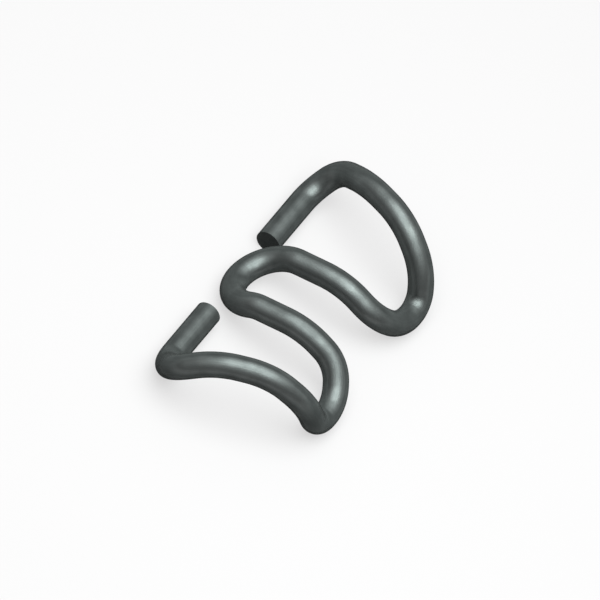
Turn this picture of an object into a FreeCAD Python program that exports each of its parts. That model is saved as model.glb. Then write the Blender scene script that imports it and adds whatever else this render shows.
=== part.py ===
import FreeCAD, Part
import math
import os

# Elastic rail clip: one round bar of spring steel, bent hot into a W.
# From the middle outwards each half has a nose, an inner leg, a heel, an outer arm,
# a shoulder and a toe. The bolt goes down between the inner legs and presses on them,
# the heels sit in the groove of the guide plate and the toes press on the foot of the rail.
# Frame: +X along the rail, +Y from the heels to the toes, +Z up, in millimetres.
# The origin is on the floor that the clip stands on, under the middle of its outline.

Vector = FreeCAD.Vector

# Driving dimensions
bar_diameter = 13.0
bolt_gap = 24.0          # clear width between the inner legs
heel_to_toe = 77.5       # from the line of the heels to the line of nose and toes
toe_gap = 57.0           # between the cut end faces of the two toes
heel_corner_x = 49.5     # where the heel turns up into the outer arm
shoulder_corner_x = 70.0 # where the outer arm turns in to the toe
end_chamfer = 0.4        # burr taken off the sheared ends

bar_radius = bar_diameter / 2
leg_x = (bolt_gap + bar_diameter) / 2
heel_y = -heel_to_toe / 2
toe_y = heel_to_toe / 2
floor_z = bar_radius     # centreline height of everything that rests on the floor
toe_tip_x = toe_gap / 2


def bend(x, from_heel, rise, radius):
    """A corner of the bar's centreline with its bend radius; heights count from the resting level."""
    return Vector(x, heel_y + from_heel, floor_z + rise), radius


# Corners of the right half, in order from the nose to the toe.
# The inner leg arches in one upright plane; the outer arm arches higher and leans outwards.
right_bends = [
    bend(leg_x, heel_to_toe, 0, leg_x),              # nose: half a circle between the legs
    bend(leg_x, 59.5, 13.0, 15.5),                   # inner leg, rising out of the nose
    bend(leg_x, 32.0, 19.5, 36.0),                   # inner leg, crown of its arch
    bend(leg_x, 10.5, 11.0, 22.0),                   # inner leg, falling to the heel
    bend(31.5, 0, 0, 20.0),                          # inner leg into the heel
    bend(heel_corner_x, 0, 0, 11.0),                 # heel into the outer arm
    bend(55.5, 7.5, 17.5, 38.0),                     # outer arm, rising from the heel
    bend(63.5, 28.0, 31.0, 34.0),                    # outer arm, crown of its arch
    bend(72.5, 53.0, 27.5, 45.0),                    # outer arm, falling from its crown
    bend(80.0, 70.5, 14.0, 16.0),                    # outer arm into the shoulder
    bend(shoulder_corner_x, heel_to_toe, 0, 16.0),   # shoulder into the toe
]
right_tip = Vector(toe_tip_x, toe_y, floor_z)


def mirrored(point):
    """The same point on the left half of the clip."""
    return Vector(-point.x, point.y, point.z)


def centreline(start, bends, end):
    """Straight runs joined by tangent arcs, one arc at each bend."""
    corners = [start] + [corner for corner, radius in bends] + [end]
    edges = []
    run_start = start
    for before, (corner, radius), after in zip(corners, bends, corners[2:]):
        to_before = (before - corner).normalize()
        to_after = (after - corner).normalize()
        half_turn = (math.pi - to_before.getAngle(to_after)) / 2
        tangent_length = radius * math.tan(half_turn)
        arc_start = corner + to_before * tangent_length
        arc_end = corner + to_after * tangent_length
        inward = (to_before + to_after).normalize()
        arc_middle = corner + inward * (radius / math.cos(half_turn) - radius)
        if (arc_start - run_start).Length > 1e-6:
            edges.append(Part.LineSegment(run_start, arc_start).toShape())
        edges.append(Part.Arc(arc_start, arc_middle, arc_end).toShape())
        run_start = arc_end
    edges.append(Part.LineSegment(run_start, end).toShape())
    return Part.Wire(edges)


def bent_bar(path, start, direction):
    """A round bar that follows the path, with its two cut ends chamfered."""
    section = Part.Wire(Part.makeCircle(bar_radius, start, direction))
    bar = path.makePipeShell([section], True, False)
    end_centres = [path.OrderedVertexes[0].Point, path.OrderedVertexes[-1].Point]
    end_edges = []
    for edge in bar.Edges:
        is_circle = isinstance(edge.Curve, Part.Circle)
        if is_circle and any((edge.Curve.Center - centre).Length < 1e-6 for centre in end_centres):
            end_edges.append(edge)
    return bar.makeChamfer(end_chamfer, end_edges)


left_bends = [(mirrored(corner), radius) for corner, radius in reversed(right_bends)]
left_tip = mirrored(right_tip)
path = centreline(left_tip, left_bends + right_bends, right_tip)
spring_bar = bent_bar(path, left_tip, Vector(-1, 0, 0))

os.makedirs("parts", exist_ok=True)
spring_bar.exportStep("parts/spring_bar.step")

section_times_length = math.pi * bar_radius ** 2 * path.Length
box = spring_bar.BoundBox
print("valid", spring_bar.isValid(), "solids", len(spring_bar.Solids), "faces", len(spring_bar.Faces))
print("bar length %.1f mm, volume %.0f, section times length %.0f"
      % (path.Length, spring_bar.Volume, section_times_length))
print("outline %.1f x %.1f x %.1f mm, lowest %.3f" % (box.XLength, box.YLength, box.ZLength, box.ZMin))
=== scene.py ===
import math

import bpy
from mathutils import Euler, Matrix, Vector


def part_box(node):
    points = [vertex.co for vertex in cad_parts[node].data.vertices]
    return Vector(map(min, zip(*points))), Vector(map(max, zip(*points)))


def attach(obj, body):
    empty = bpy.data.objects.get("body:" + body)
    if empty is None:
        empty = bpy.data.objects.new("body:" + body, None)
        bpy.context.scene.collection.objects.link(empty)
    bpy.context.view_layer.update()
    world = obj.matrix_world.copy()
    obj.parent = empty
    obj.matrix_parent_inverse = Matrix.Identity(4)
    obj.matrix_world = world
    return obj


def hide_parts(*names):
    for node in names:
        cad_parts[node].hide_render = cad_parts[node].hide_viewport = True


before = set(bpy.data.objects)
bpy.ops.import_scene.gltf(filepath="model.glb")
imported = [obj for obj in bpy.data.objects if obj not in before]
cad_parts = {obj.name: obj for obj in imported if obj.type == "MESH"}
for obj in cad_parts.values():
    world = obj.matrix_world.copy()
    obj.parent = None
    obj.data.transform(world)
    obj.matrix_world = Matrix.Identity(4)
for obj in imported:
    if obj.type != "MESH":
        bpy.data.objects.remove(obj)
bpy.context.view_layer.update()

# The spring bar.
# One round bar of spring steel, heated and bent over dies into a W, then quenched and tempered.
# It is the whole clip: nose, inner legs, heels, outer arms, shoulders and toes in one piece.

mm = 0.001
bar_radius = 6.5 * mm
end_chamfer = 0.4 * mm
bar_lowest, bar_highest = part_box("spring_bar")
heel_y = bar_lowest.y + bar_radius
toe_y = bar_highest.y - bar_radius
resting_z = bar_lowest.z + bar_radius

# Corners of the right half's centreline from the nose to the toe, in millimetres:
# distance from the middle, distance from the heel line, rise over the resting level, bend radius.
heel_to_toe = (toe_y - heel_y) / mm
leg_x = 18.5
toe_tip_x = 28.5
right_bends = [
    (leg_x, heel_to_toe, 0, leg_x),     # nose
    (leg_x, 59.5, 13.0, 15.5),          # inner leg, rising out of the nose
    (leg_x, 32.0, 19.5, 36.0),          # inner leg, crown of its arch
    (leg_x, 10.5, 11.0, 22.0),          # inner leg, falling to the heel
    (31.5, 0, 0, 20.0),                 # inner leg into the heel
    (49.5, 0, 0, 11.0),                 # heel into the outer arm
    (55.5, 7.5, 17.5, 38.0),            # outer arm, rising from the heel
    (63.5, 28.0, 31.0, 34.0),           # outer arm, crown of its arch
    (72.5, 53.0, 27.5, 45.0),           # outer arm, falling from its crown
    (80.0, 70.5, 14.0, 16.0),           # outer arm into the shoulder
    (70.0, heel_to_toe, 0, 16.0),       # shoulder into the toe
]
chamfer_start = (toe_tip_x + end_chamfer / mm, heel_to_toe, 0, 0)
cut_end = (toe_tip_x, heel_to_toe, 0, 0)

# The left half is the mirror image of the right one, so its corners run the other way.
right_half = right_bends + [chamfer_start, cut_end]
left_half = [(-x, from_heel, rise, radius) for x, from_heel, rise, radius in reversed(right_half)]
corners = left_half + right_half

# The centreline as a chain of edges. Each corner carries its bend radius and how wide the bar is
# there, as a share of its full width, because the two cut ends are chamfered.
bar_mesh = bpy.data.meshes.new("clip_spring_bar")
bar_mesh.from_pydata(
    [(x * mm, heel_y + from_heel * mm, resting_z + rise * mm) for x, from_heel, rise, _ in corners],
    [(i, i + 1) for i in range(len(corners) - 1)],
    [],
)
bend_radius = bar_mesh.attributes.new("bend_radius", "FLOAT", "POINT")
bend_radius.data.foreach_set("value", [radius * mm for _, _, _, radius in corners])
bar_width = bar_mesh.attributes.new("bar_width", "FLOAT", "POINT")
width_at_cut = 1 - end_chamfer / bar_radius
bar_width.data.foreach_set("value", [width_at_cut] + [1.0] * (len(corners) - 2) + [width_at_cut])


def link(tree, source, target):
    """Joins an output socket to an input socket."""
    tree.links.new(source, target)


def bent_bar_tree():
    """Geometry nodes that turn the centreline's corners into a bent round bar."""
    tree = bpy.data.node_groups.new("bent round bar", "GeometryNodeTree")
    tree.is_modifier = True
    interface = tree.interface
    interface.new_socket("Corners", in_out="INPUT", socket_type="NodeSocketGeometry")
    interface.new_socket("Bar Radius", in_out="INPUT", socket_type="NodeSocketFloat")
    interface.new_socket("Steps per Bend", in_out="INPUT", socket_type="NodeSocketInt")
    interface.new_socket("Sides", in_out="INPUT", socket_type="NodeSocketInt")
    interface.new_socket("Skin", in_out="INPUT", socket_type="NodeSocketMaterial")
    interface.new_socket("Cut End", in_out="INPUT", socket_type="NodeSocketMaterial")
    interface.new_socket("Bar", in_out="OUTPUT", socket_type="NodeSocketGeometry")
    make = tree.nodes.new
    given = make("NodeGroupInput")

    # The centreline: straight runs between the corners, each corner rounded to its bend radius.
    runs = make("GeometryNodeMeshToCurve")
    radius_at_corner = make("GeometryNodeInputNamedAttribute")
    radius_at_corner.data_type = "FLOAT"
    radius_at_corner.inputs["Name"].default_value = "bend_radius"
    bends = make("GeometryNodeFilletCurve")
    bends.mode = "POLY"
    link(tree, given.outputs["Corners"], runs.inputs["Mesh"])
    link(tree, runs.outputs["Curve"], bends.inputs["Curve"])
    link(tree, given.outputs["Steps per Bend"], bends.inputs["Count"])
    link(tree, radius_at_corner.outputs["Attribute"], bends.inputs["Radius"])

    # The bar narrows over the chamfer at each cut end.
    width = make("GeometryNodeInputNamedAttribute")
    width.data_type = "FLOAT"
    width.inputs["Name"].default_value = "bar_width"
    narrowed = make("GeometryNodeSetCurveRadius")
    link(tree, bends.outputs["Curve"], narrowed.inputs["Curve"])
    link(tree, width.outputs["Attribute"], narrowed.inputs["Radius"])

    # How far along the bar and how far round it each point lies.
    along = make("GeometryNodeSplineParameter")
    keep_along = make("GeometryNodeCaptureAttribute")
    keep_along.capture_items.new("FLOAT", "Along")
    link(tree, narrowed.outputs["Curve"], keep_along.inputs["Geometry"])
    link(tree, along.outputs["Length"], keep_along.inputs["Along"])
    section = make("GeometryNodeCurvePrimitiveCircle")
    link(tree, given.outputs["Sides"], section.inputs["Resolution"])
    link(tree, given.outputs["Bar Radius"], section.inputs["Radius"])
    section_place = make("GeometryNodeInputPosition")
    keep_section = make("GeometryNodeCaptureAttribute")
    keep_section.capture_items.new("VECTOR", "Place")
    link(tree, section.outputs["Curve"], keep_section.inputs["Geometry"])
    link(tree, section_place.outputs["Position"], keep_section.inputs["Place"])

    bar = make("GeometryNodeCurveToMesh")
    bar.inputs["Fill Caps"].default_value = True
    link(tree, keep_along.outputs["Geometry"], bar.inputs["Curve"])
    link(tree, keep_section.outputs["Geometry"], bar.inputs["Profile Curve"])

    # The place that each point had on the bar while it was still straight.
    split = make("ShaderNodeSeparateXYZ")
    straight = make("ShaderNodeCombineXYZ")
    store_straight = make("GeometryNodeStoreNamedAttribute")
    store_straight.data_type = "FLOAT_VECTOR"
    store_straight.domain = "POINT"
    store_straight.inputs["Name"].default_value = "straight_bar"
    link(tree, keep_section.outputs["Place"], split.inputs["Vector"])
    link(tree, keep_along.outputs["Along"], straight.inputs["X"])
    link(tree, split.outputs["X"], straight.inputs["Y"])
    link(tree, split.outputs["Y"], straight.inputs["Z"])
    link(tree, bar.outputs["Mesh"], store_straight.inputs["Geometry"])
    link(tree, straight.outputs["Vector"], store_straight.inputs["Value"])

    # The cut faces are the only ones with more than four corners.
    neighbours = make("GeometryNodeInputMeshFaceNeighbors")
    is_cut = make("FunctionNodeCompare")
    is_cut.data_type = "INT"
    is_cut.operation = "GREATER_THAN"
    corner_count, most_corners = [socket for socket in is_cut.inputs if socket.enabled]
    most_corners.default_value = 4
    link(tree, neighbours.outputs["Vertex Count"], corner_count)

    # The bar is smooth all round, with crisp edges only at the chamfers of its cut ends.
    smooth = make("GeometryNodeSetShadeSmooth")
    smooth.domain = "FACE"
    link(tree, store_straight.outputs["Geometry"], smooth.inputs["Geometry"])
    angle = make("GeometryNodeInputMeshEdgeAngle")
    is_crease = make("FunctionNodeCompare")
    is_crease.data_type = "FLOAT"
    is_crease.operation = "GREATER_THAN"
    edge_angle, widest_smooth_angle = [socket for socket in is_crease.inputs if socket.enabled]
    widest_smooth_angle.default_value = math.radians(25)
    link(tree, angle.outputs["Unsigned Angle"], edge_angle)
    crisp = make("GeometryNodeSetShadeSmooth")
    crisp.domain = "EDGE"
    crisp.inputs["Shade Smooth"].default_value = False
    link(tree, smooth.outputs["Geometry"], crisp.inputs["Geometry"])
    link(tree, is_crease.outputs["Result"], crisp.inputs["Selection"])

    skin = make("GeometryNodeSetMaterial")
    ends = make("GeometryNodeSetMaterial")
    whole = make("GeometryNodeRealizeInstances")
    made = make("NodeGroupOutput")
    link(tree, crisp.outputs["Geometry"], whole.inputs["Geometry"])
    link(tree, whole.outputs["Geometry"], skin.inputs["Geometry"])
    link(tree, given.outputs["Skin"], skin.inputs["Material"])
    link(tree, skin.outputs["Geometry"], ends.inputs["Geometry"])
    link(tree, is_cut.outputs["Result"], ends.inputs["Selection"])
    link(tree, given.outputs["Cut End"], ends.inputs["Material"])
    link(tree, ends.outputs["Geometry"], made.inputs["Bar"])
    return tree


def satin_grain_group():
    """Fine grain and broad clouds, as scale leaves them on hot-worked steel, for skin and cut ends alike."""
    group = bpy.data.node_groups.new("satin grain", "ShaderNodeTree")
    interface = group.interface
    interface.new_socket("Place", in_out="INPUT", socket_type="NodeSocketVector")
    interface.new_socket("Grain Size", in_out="INPUT", socket_type="NodeSocketFloat")
    interface.new_socket("Cloud Size", in_out="INPUT", socket_type="NodeSocketFloat")
    interface.new_socket("Grain", in_out="OUTPUT", socket_type="NodeSocketFloat")
    interface.new_socket("Cloud", in_out="OUTPUT", socket_type="NodeSocketFloat")
    make = group.nodes.new
    given = make("NodeGroupInput")
    made = make("NodeGroupOutput")
    for size, pattern, detail in (("Grain Size", "Grain", 3.0), ("Cloud Size", "Cloud", 4.0)):
        per_metre = make("ShaderNodeMath")
        per_metre.operation = "DIVIDE"
        per_metre.inputs[0].default_value = 1.0
        noise = make("ShaderNodeTexNoise")
        noise.inputs["Detail"].default_value = detail
        link(group, given.outputs[size], per_metre.inputs[1])
        link(group, given.outputs["Place"], noise.inputs["Vector"])
        link(group, per_metre.outputs["Value"], noise.inputs["Scale"])
        link(group, noise.outputs["Fac"], made.inputs[pattern])
    return group


satin_grain = satin_grain_group()


def steel(name, dark, light, roughness, cloud_size, line_stretch, line_size, line_depth):
    """Dark tempered steel: scale in thin and thick clouds, lines that run one way, fine grain."""
    grain_size = 0.6 * mm
    grain_depth = 0.05 * mm
    material = bpy.data.materials.new(name)
    material.use_nodes = True
    tree = material.node_tree
    tree.nodes.clear()
    make = tree.nodes.new
    place = make("ShaderNodeAttribute")
    place.attribute_name = "straight_bar"
    grain = make("ShaderNodeGroup")
    grain.node_tree = satin_grain
    grain.inputs["Grain Size"].default_value = grain_size
    grain.inputs["Cloud Size"].default_value = cloud_size
    link(tree, place.outputs["Vector"], grain.inputs["Place"])
    stretch = make("ShaderNodeMapping")
    stretch.inputs["Scale"].default_value = line_stretch
    lines = make("ShaderNodeTexNoise")
    lines.inputs["Scale"].default_value = 1 / line_size
    lines.inputs["Detail"].default_value = 2.0
    link(tree, place.outputs["Vector"], stretch.inputs["Vector"])
    link(tree, stretch.outputs["Vector"], lines.inputs["Vector"])

    # How bare the steel is: mostly by the clouds, with about a third as much from the lines and from
    # the grain. The sum of the three mostly lies between 0.60 and 1.10.
    line_share = 0.35
    grain_share = 0.35
    streaked = make("ShaderNodeMath")
    streaked.operation = "MULTIPLY_ADD"
    streaked.inputs[1].default_value = line_share
    speckled = make("ShaderNodeMath")
    speckled.operation = "MULTIPLY_ADD"
    speckled.inputs[1].default_value = grain_share
    bareness = make("ShaderNodeMapRange")
    bareness.inputs["From Min"].default_value = 0.60
    bareness.inputs["From Max"].default_value = 1.10
    link(tree, lines.outputs["Fac"], streaked.inputs[0])
    link(tree, grain.outputs["Cloud"], streaked.inputs[2])
    link(tree, grain.outputs["Grain"], speckled.inputs[0])
    link(tree, streaked.outputs["Value"], speckled.inputs[2])
    link(tree, speckled.outputs["Value"], bareness.inputs["Value"])

    # Barer steel is lighter and glossier.
    colour = make("ShaderNodeMix")
    colour.data_type = "RGBA"
    scaled, bare = [socket for socket in colour.inputs if socket.type == "RGBA"]
    scaled.default_value = dark
    bare.default_value = light
    mixed = [socket for socket in colour.outputs if socket.type == "RGBA"][0]
    roughness_swing = 0.06
    gloss = make("ShaderNodeMapRange")
    gloss.inputs["To Min"].default_value = roughness + roughness_swing
    gloss.inputs["To Max"].default_value = roughness - roughness_swing
    link(tree, bareness.outputs["Result"], colour.inputs["Factor"])
    link(tree, bareness.outputs["Result"], gloss.inputs["Value"])

    # The thin scale scatters more where it is seen at a slant, so it turns dull from 30 to 50 degrees.
    # From 57 degrees on, towards edge-on, it gets a little smoother again. Facing is 1 less the cosine
    # of the slant: 0 straight on and 1 edge-on.
    slant = make("ShaderNodeLayerWeight")
    slant.inputs["Blend"].default_value = 0.5
    duller = make("ShaderNodeMapRange")
    duller.interpolation_type = "SMOOTHSTEP"
    duller.inputs["From Min"].default_value = 0.13
    duller.inputs["From Max"].default_value = 0.36
    duller.inputs["To Max"].default_value = 1.0
    link(tree, slant.outputs["Facing"], duller.inputs["Value"])
    link(tree, gloss.outputs["Result"], duller.inputs["To Min"])
    edge_on = make("ShaderNodeMapRange")
    edge_on.interpolation_type = "SMOOTHSTEP"
    edge_on.inputs["From Min"].default_value = 0.45
    edge_on.inputs["From Max"].default_value = 0.90
    edge_on.inputs["To Max"].default_value = 0.6
    link(tree, slant.outputs["Facing"], edge_on.inputs["Value"])
    link(tree, duller.outputs["Result"], edge_on.inputs["To Min"])

    # The lines and the grain stand up a little from the surface.
    line_bump = make("ShaderNodeBump")
    line_bump.inputs["Strength"].default_value = 1.0
    line_bump.inputs["Distance"].default_value = line_depth
    link(tree, lines.outputs["Fac"], line_bump.inputs["Height"])
    grain_bump = make("ShaderNodeBump")
    grain_bump.inputs["Strength"].default_value = 1.0
    grain_bump.inputs["Distance"].default_value = grain_depth
    link(tree, grain.outputs["Grain"], grain_bump.inputs["Height"])
    link(tree, line_bump.outputs["Normal"], grain_bump.inputs["Normal"])

    # A metal nearly all over; the black tint keeps its edges from turning white.
    surface = make("ShaderNodeBsdfPrincipled")
    surface.distribution = "GGX"
    surface.inputs["Metallic"].default_value = 0.97
    surface.inputs["Specular Tint"].default_value = (0.0, 0.0, 0.0, 1)
    link(tree, mixed, surface.inputs["Base Color"])
    link(tree, edge_on.outputs["Result"], surface.inputs["Roughness"])
    link(tree, grain_bump.outputs["Normal"], surface.inputs["Normal"])
    output = make("ShaderNodeOutputMaterial")
    link(tree, surface.outputs["BSDF"], output.inputs["Surface"])
    return material


# The skin keeps faint lines from rolling, which run along the bar.
bar_skin = steel(
    "tempered_steel_skin",
    dark=(0.085, 0.0905, 0.089, 1),
    light=(0.125, 0.133, 0.1305, 1),
    roughness=0.45,
    cloud_size=7 * mm,
    line_stretch=(0.02, 1, 1),
    line_size=0.9 * mm,
    line_depth=0.03 * mm,
)

# The ends keep marks of the shear, which run across them, and are rough with scale. Their colour is painted
# about half as light as the skin's, as shade on the end faces.
cut_end_painted_shade = steel(
    "sheared_steel_end_painted_shade",
    dark=(0.046, 0.049, 0.048, 1),
    light=(0.068, 0.072, 0.071, 1),
    roughness=0.7,
    cloud_size=4 * mm,
    line_stretch=(1, 0.08, 1),
    line_size=0.5 * mm,
    line_depth=0.03 * mm,
)

corner_object = bpy.data.objects.new("bar_corners", bar_mesh)
bpy.context.scene.collection.objects.link(corner_object)
bending = corner_object.modifiers.new("bending", "NODES")
bending.node_group = bent_bar_tree()
bending_inputs = {
    "Bar Radius": bar_radius,
    "Steps per Bend": 28,
    "Sides": 64,
    "Skin": bar_skin,
    "Cut End": cut_end_painted_shade,
}
for socket in bending.node_group.interface.items_tree:
    if socket.item_type == "SOCKET" and socket.name in bending_inputs:
        bending[socket.identifier] = bending_inputs[socket.name]
depsgraph = bpy.context.evaluated_depsgraph_get()
finished_mesh = bpy.data.meshes.new_from_object(corner_object.evaluated_get(depsgraph))
bpy.data.objects.remove(corner_object)
spring_bar = bpy.data.objects.new("bent_spring_bar", finished_mesh)
bpy.context.scene.collection.objects.link(spring_bar)
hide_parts("spring_bar")
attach(spring_bar, "root")

# The studio.
# A pale table that the clip stands on, a wide soft lamp over it and a grey room with a pale ceiling.
# The table looks white, straight on and in the steel, but throws little light back on the clip.

# The table reaches 12 metres each way, so that it ends far off in a low view.
half_table = 12.0
table_mesh = bpy.data.meshes.new("studio_table")
table_mesh.from_pydata(
    [(-half_table, -half_table, 0), (half_table, -half_table, 0),
     (half_table, half_table, 0), (-half_table, half_table, 0)],
    [], [(0, 1, 2, 3)],
)
table = bpy.data.objects.new("studio_table", table_mesh)
bpy.context.scene.collection.objects.link(table)


def seen_directly(tree):
    """1 for what the camera sees, straight on or in metal and glass, and 0 for light that bounces."""
    path = tree.nodes.new("ShaderNodeLightPath")
    seen = path.outputs["Is Camera Ray"]
    for ray in ("Is Glossy Ray", "Is Transmission Ray"):
        either = tree.nodes.new("ShaderNodeMath")
        either.operation = "MAXIMUM"
        link(tree, seen, either.inputs[0])
        link(tree, path.outputs[ray], either.inputs[1])
        seen = either.outputs["Value"]
    return seen


# The table's glow makes up most of its white, and the light that falls on it adds the rest, so the clip
# keeps a soft shadow. Its matt colour is a little warm, which evens out the cool lamp.
table_glow = 0.61
table_top = bpy.data.materials.new("pale_table")
table_top.use_nodes = True
tree = table_top.node_tree
tree.nodes.clear()
matt = tree.nodes.new("ShaderNodeBsdfDiffuse")
matt.inputs["Color"].default_value = (0.172, 0.16, 0.162, 1)
glow = tree.nodes.new("ShaderNodeEmission")
glow.inputs["Color"].default_value = (1, 1, 1, 1)
glow_strength = tree.nodes.new("ShaderNodeMath")
glow_strength.operation = "MULTIPLY"
glow_strength.inputs[1].default_value = table_glow
both = tree.nodes.new("ShaderNodeAddShader")
output = tree.nodes.new("ShaderNodeOutputMaterial")
link(tree, seen_directly(tree), glow_strength.inputs[0])
link(tree, glow_strength.outputs["Value"], glow.inputs["Strength"])
link(tree, matt.outputs["BSDF"], both.inputs[0])
link(tree, glow.outputs["Emission"], both.inputs[1])
link(tree, both.outputs["Shader"], output.inputs["Surface"])
table_mesh.materials.append(table_top)

# The room is dim along its walls and pale overhead, round the lamp. It brightens by height, the sine of
# the angle over the horizon, between 10 and 40 degrees. Under the horizon it looks as white as the table.
dim_wall = 0.04
pale_ceiling = 0.90
table_white = 0.96
world = bpy.data.worlds.new("grey_room")
bpy.context.scene.world = world
world.use_nodes = True
tree = world.node_tree
direction = tree.nodes.new("ShaderNodeTexCoord")
height = tree.nodes.new("ShaderNodeSeparateXYZ")
overhead = tree.nodes.new("ShaderNodeMapRange")
overhead.interpolation_type = "SMOOTHSTEP"
overhead.inputs["From Min"].default_value = 0.18
overhead.inputs["From Max"].default_value = 0.65
overhead.inputs["To Min"].default_value = dim_wall
overhead.inputs["To Max"].default_value = pale_ceiling
is_under = tree.nodes.new("ShaderNodeMath")
is_under.operation = "LESS_THAN"
is_under.inputs[1].default_value = 0.0
is_white = tree.nodes.new("ShaderNodeMath")
is_white.operation = "MULTIPLY"
brightness = tree.nodes.new("ShaderNodeMapRange")
brightness.inputs["To Max"].default_value = table_white
background = tree.nodes["Background"]
background.inputs["Color"].default_value = (1, 1, 1, 1)
link(tree, direction.outputs["Generated"], height.inputs["Vector"])
link(tree, height.outputs["Z"], overhead.inputs["Value"])
link(tree, height.outputs["Z"], is_under.inputs[0])
link(tree, is_under.outputs["Value"], is_white.inputs[0])
link(tree, seen_directly(tree), is_white.inputs[1])
link(tree, is_white.outputs["Value"], brightness.inputs["Value"])
link(tree, overhead.outputs["Result"], brightness.inputs["To Min"])
link(tree, brightness.outputs["Result"], background.inputs["Strength"])

# The lamp: a wide round softbox, a little cool, almost straight over the clip.
lamp_distance = 0.9
clip_centre = (bar_lowest + bar_highest) / 2
lamp_direction = Vector((-0.09, -0.09, 0.99)).normalized()
lamp_data = bpy.data.lights.new("overhead_softbox", "AREA")
lamp_data.shape = "DISK"
lamp_data.size = 1.13
lamp_data.energy = 18.5
lamp_data.color = (0.90, 1.0, 0.985)
lamp = bpy.data.objects.new("overhead_softbox", lamp_data)
lamp.location = clip_centre + lamp_direction * lamp_distance
lamp.rotation_mode = "QUATERNION"
lamp.rotation_quaternion = lamp_direction.to_track_quat("Z", "Y")
bpy.context.scene.collection.objects.link(lamp)

# The camera looks down on the clip from its left end, square on and without perspective.
camera_azimuth = math.radians(-77.5)
camera_elevation = math.radians(51.3)
camera_roll = math.radians(24.35)
camera_distance = 1.0
camera_data = bpy.data.cameras.new("camera")
camera_data.type = "ORTHO"
camera_data.ortho_scale = 294.3 * mm
camera = bpy.data.objects.new("camera", camera_data)
camera_turn = Euler((math.pi / 2 - camera_elevation, 0, camera_azimuth)).to_matrix()
camera_turn = camera_turn @ Matrix.Rotation(camera_roll, 3, "Z")
backwards = camera_turn @ Vector((0, 0, 1))
aim = Vector((3.4, 6.6, 15.0)) * mm
camera.matrix_world = Matrix.LocRotScale(aim + backwards * camera_distance, camera_turn, None)
bpy.context.scene.collection.objects.link(camera)
bpy.context.scene.camera = camera
bpy.context.scene.view_settings.view_transform = "Standard"
